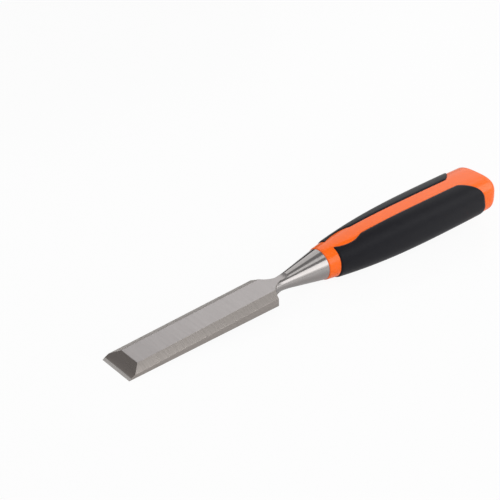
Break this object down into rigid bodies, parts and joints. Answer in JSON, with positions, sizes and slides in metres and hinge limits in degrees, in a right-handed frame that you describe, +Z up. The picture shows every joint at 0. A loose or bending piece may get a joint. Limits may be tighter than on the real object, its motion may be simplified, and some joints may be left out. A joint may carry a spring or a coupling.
{
  "type": "bench chisel",
  "caption": "Bevel-edged bench chisel: a tapered steel blade with a conical bolster, in a round-to-square plastic handle with soft side grips, for paring and chopping wood.",
  "frame": {"origin": "middle of the bottom of the part's box, on the bench that the chisel lies on", "axes": "+X from the cutting edge towards the butt of the handle, +Y to the side of the right grip, +Z up from the bench, with the chisel lying on its cutting edge and the belly of its grips"},
  "size_m": [0.2494, 0.0298, 0.0255],
  "materials": {
    "steel": "ground, with a polished bolster",
    "handle_plastic": "semi-gloss",
    "grip_rubber": "matte"
  },
  "bodies": {
    "root": {"blade": "steel", "handle_core": "handle_plastic", "left_grip": "grip_rubber", "right_grip": "grip_rubber"}
  },
  "joints": []
}
